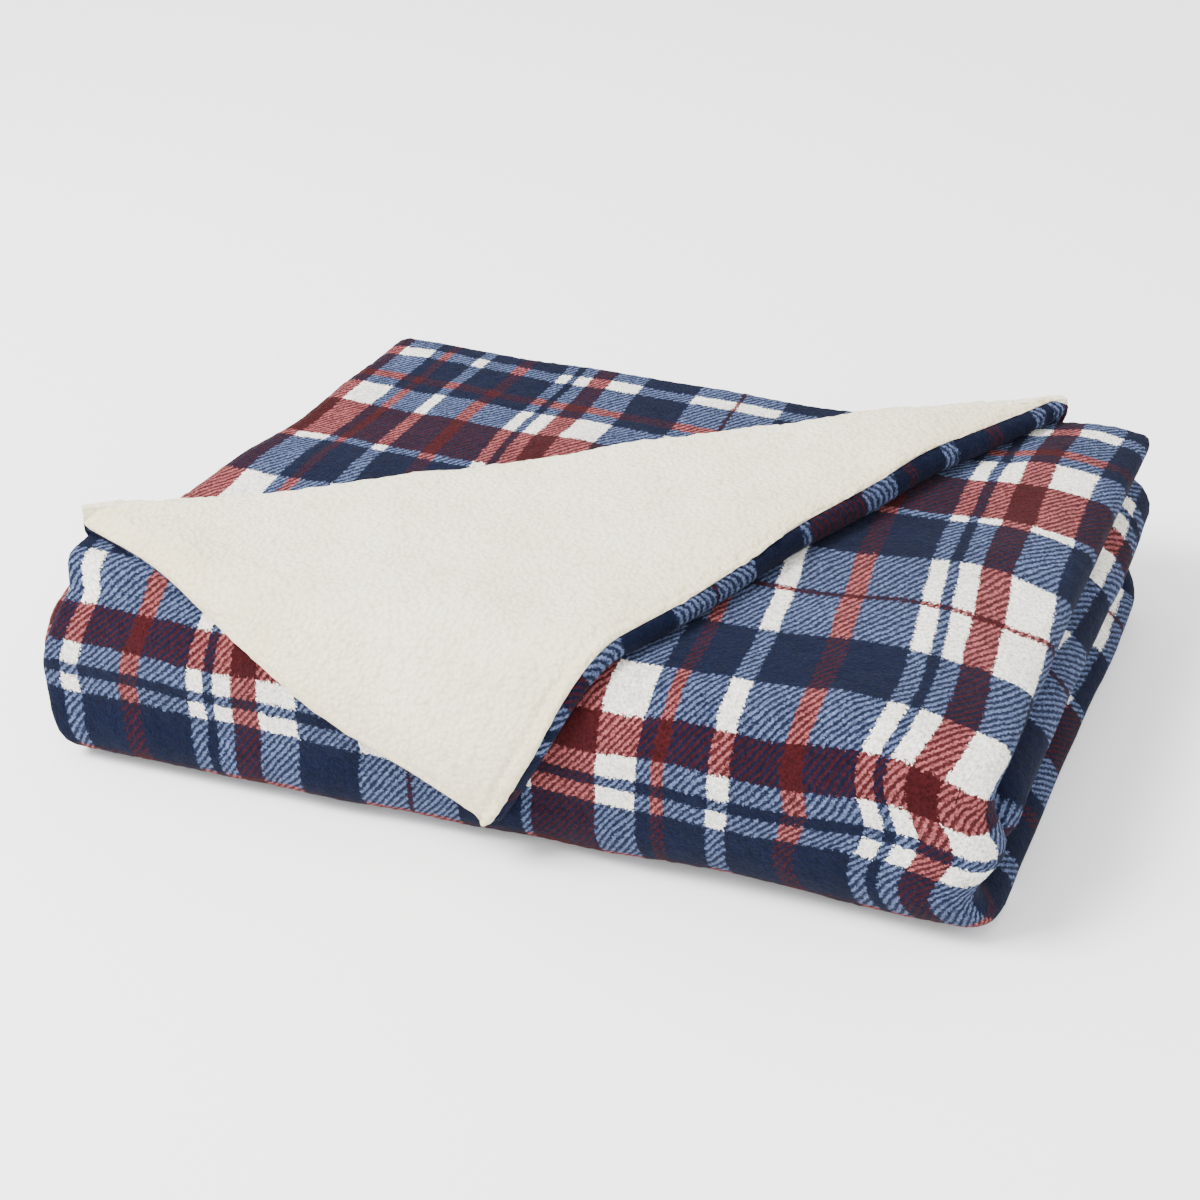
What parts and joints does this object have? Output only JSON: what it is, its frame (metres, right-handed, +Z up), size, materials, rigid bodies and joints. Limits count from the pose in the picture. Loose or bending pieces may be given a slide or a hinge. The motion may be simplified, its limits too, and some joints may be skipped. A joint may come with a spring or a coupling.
{
  "type": "camp blanket",
  "caption": "Folded throw blanket, plaid plush face and sherpa back, with one corner turned back over the front; the corner opens along its crease.",
  "frame": {"origin": "under the middle of the whole folded object, on the surface it lies on", "axes": "+X along the wide side, to the right as seen from the front; -Y to the front, where the turned corner hangs down; +Z up"},
  "size_m": [0.5164, 0.3412, 0.1206],
  "materials": {
    "plush_face": "printed plaid short-pile plush in navy, red and cream",
    "sherpa_back": "nubby cream sherpa pile",
    "thread": "cream sewing thread"
  },
  "bodies": {
    "folded_stack": {"plush_quarter_1": "plush_face", "sherpa_quarter_1": "sherpa_back", "plush_quarter_2": "plush_face", "sherpa_quarter_2": "sherpa_back", "plush_quarter_3": "plush_face", "sherpa_quarter_3": "sherpa_back", "plush_quarter_4_lower_panels": "plush_face", "sherpa_quarter_4_lower_panels": "sherpa_back", "plush_quarter_4_side_fold": "plush_face", "sherpa_quarter_4_side_fold": "sherpa_back", "plush_quarter_4_top_panel": "plush_face", "sherpa_quarter_4_top_panel": "sherpa_back", "plush_inner_front_fold": "plush_face", "sherpa_inner_front_fold": "sherpa_back", "plush_back_fold": "plush_face", "sherpa_back_fold": "sherpa_back", "plush_outer_front_fold": "plush_face", "sherpa_outer_front_fold": "sherpa_back", "plush_crease_roll": "plush_face", "sherpa_crease_roll": "sherpa_back"},
    "corner_flap": {"plush_flap": "plush_face", "sherpa_flap": "sherpa_back", "side_topstitch_flap": "thread", "end_topstitch_flap": "thread"},
    "drape_upper": {"plush_upper_drape": "plush_face", "sherpa_upper_drape": "sherpa_back", "side_topstitch_upper_drape": "thread", "end_topstitch_upper_drape": "thread"},
    "drape_lower": {"plush_lower_drape": "plush_face", "sherpa_lower_drape": "sherpa_back", "side_topstitch_lower_drape": "thread", "end_topstitch_lower_drape": "thread"}
  },
  "joints": [
    {"name": "corner_turn", "type": "hinge", "parent": "folded_stack", "child": "corner_flap", "pos_m": [-0.24902, -0.11455, 0.11145], "axis": [-0.8535, -0.5211, 0], "range_deg": [0, 178], "deforming": ["plush_crease_roll", "sherpa_crease_roll"]},
    {"name": "drape_bend_upper", "type": "hinge", "parent": "corner_flap", "child": "drape_upper", "pos_m": [0, -0.14218, 0.11145], "axis": [-1, 0, 0], "range_deg": [0, 45]},
    {"name": "drape_bend_lower", "type": "hinge", "parent": "drape_upper", "child": "drape_lower", "pos_m": [0, -0.16145, 0.09218], "axis": [-1, 0, 0], "range_deg": [0, 45]}
  ],
  "couplings": [
    {"joint": "drape_bend_upper", "follows": "corner_turn", "ratio": 0.2528},
    {"joint": "drape_bend_lower", "follows": "corner_turn", "ratio": 0.2528}
  ]
}
